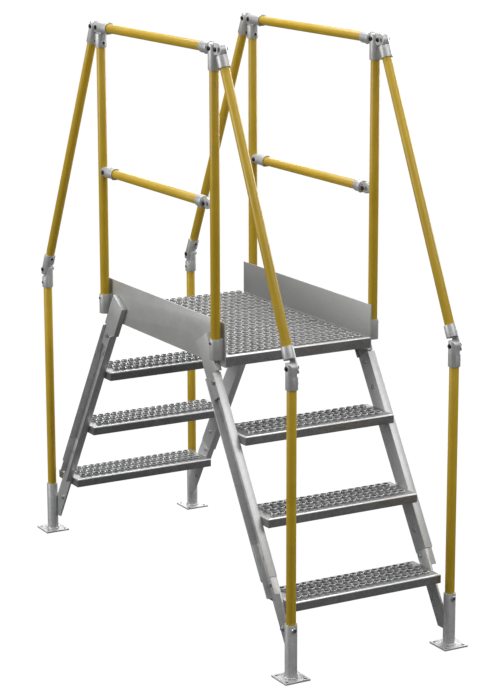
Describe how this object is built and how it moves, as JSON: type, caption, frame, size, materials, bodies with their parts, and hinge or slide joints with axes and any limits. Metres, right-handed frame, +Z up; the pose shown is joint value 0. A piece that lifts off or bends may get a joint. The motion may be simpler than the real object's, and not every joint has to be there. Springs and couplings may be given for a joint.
{
  "type": "crossover ladder",
  "caption": "Freestanding crossover ladder: two facing flights of open steps up to a short deck with tubular guard rails, on legs with square base plates.",
  "frame": {"origin": "on the floor under the middle of the deck", "axes": "+Z up, Y along the crossing with the front flight toward -Y, X across the ladder"},
  "size_m": [0.7328, 1.978, 2.0751],
  "materials": {
    "yellow_paint": "satin powder coat, safety yellow",
    "deck_sheet": "galvanised perforated sheet, dull",
    "frame_sheet": "galvanised folded sheet, satin",
    "pale_sheet": "galvanised plate, satin",
    "cast_fitting": "galvanised casting, fine grained"
  },
  "bodies": {
    "root": {"plank_front": "deck_sheet", "plank_middle": "deck_sheet", "plank_back": "deck_sheet", "side_plate_left": "pale_sheet", "side_plate_right": "pale_sheet", "tread_front_top": "deck_sheet", "tread_front_middle": "deck_sheet", "tread_front_bottom": "deck_sheet", "tread_back_top": "deck_sheet", "tread_back_middle": "deck_sheet", "tread_back_bottom": "deck_sheet", "stringer_front_left": "frame_sheet", "upper_bracket_front_left": "pale_sheet", "foot_front_left": "frame_sheet", "knuckle_front_left": "cast_fitting", "corner_front_left": "cast_fitting", "stringer_front_right": "frame_sheet", "upper_bracket_front_right": "pale_sheet", "foot_front_right": "frame_sheet", "knuckle_front_right": "cast_fitting", "corner_front_right": "cast_fitting", "stringer_back_left": "frame_sheet", "upper_bracket_back_left": "pale_sheet", "foot_back_left": "frame_sheet", "knuckle_back_left": "cast_fitting", "corner_back_left": "cast_fitting", "stringer_back_right": "frame_sheet", "upper_bracket_back_right": "pale_sheet", "foot_back_right": "frame_sheet", "knuckle_back_right": "cast_fitting", "corner_back_right": "cast_fitting", "legs_left": "yellow_paint", "posts_left": "yellow_paint", "diagonals_left": "yellow_paint", "top_rail_left": "yellow_paint", "mid_rail_left": "yellow_paint", "mid_sockets_left": "cast_fitting", "legs_right": "yellow_paint", "posts_right": "yellow_paint", "diagonals_right": "yellow_paint", "top_rail_right": "yellow_paint", "mid_rail_right": "yellow_paint", "mid_sockets_right": "cast_fitting"}
  },
  "joints": []
}
